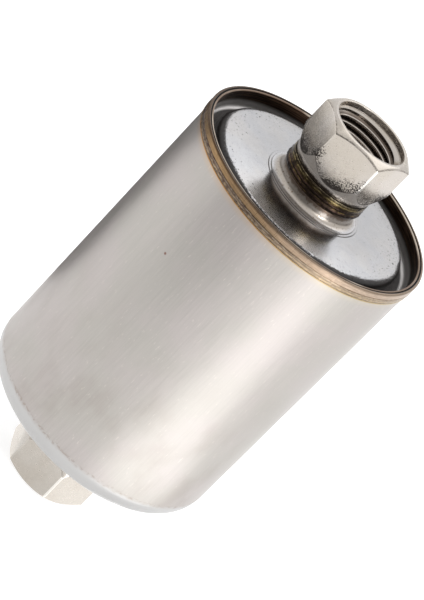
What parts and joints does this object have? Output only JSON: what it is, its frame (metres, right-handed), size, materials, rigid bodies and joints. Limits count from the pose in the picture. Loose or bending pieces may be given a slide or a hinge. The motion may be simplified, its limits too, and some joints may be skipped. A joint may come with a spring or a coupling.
{
  "type": "fuel filter",
  "caption": "In-line fuel filter: round stainless can with a recessed pressed cover, a hexagonal threaded port at each end and a spring-loaded pleated cartridge inside.",
  "frame": {"origin": "centre of the inlet port's end face, which is the bottom of the part", "axes": "+Z along the filter's axis from the inlet port to the outlet port; +X through a corner of the outlet hexagon"},
  "size_m": [0.0552, 0.0552, 0.1075],
  "materials": {
    "can_steel": "stainless steel, fine brushing round the can, heat-tinted straw band at the seam weld",
    "cover_steel": "satin pressed stainless steel",
    "port_plating": "satin nickel plate over machined steel",
    "weld": "oxidised weld bead, brown to purple heat tint",
    "seal_rubber": "matt black fuel-resistant rubber",
    "cap_steel": "yellow passivated zinc plate",
    "resin": "amber sealing resin",
    "filter_paper": "resin-cured pleated filter paper",
    "clip_steel": "bright tin plate",
    "tube_steel": "perforated tin plate",
    "spring_steel": "drawn stainless spring wire"
  },
  "bodies": {
    "housing": {"housing_can": "can_steel", "end_cover": "cover_steel", "outlet_fitting": "port_plating", "inlet_fitting": "port_plating", "outlet_weld_ring": "weld", "inlet_weld_ring": "weld", "compression_spring": "spring_steel"},
    "cartridge": {"outlet_seal": "seal_rubber", "upper_end_cap": "cap_steel", "upper_potting": "resin", "filter_media": "filter_paper", "pleat_seam_clip": "clip_steel", "center_tube": "tube_steel", "lower_potting": "resin", "lower_end_cap": "cap_steel", "spring_seat": "cap_steel"}
  },
  "joints": [
    {"name": "cartridge_float", "type": "slide", "parent": "housing", "child": "cartridge", "axis": [0, 0, 1], "range_m": [-0.003, 0], "stiffness_N_per_m": 740, "springref_m": 0.0125, "deforming": ["compression_spring"]}
  ]
}
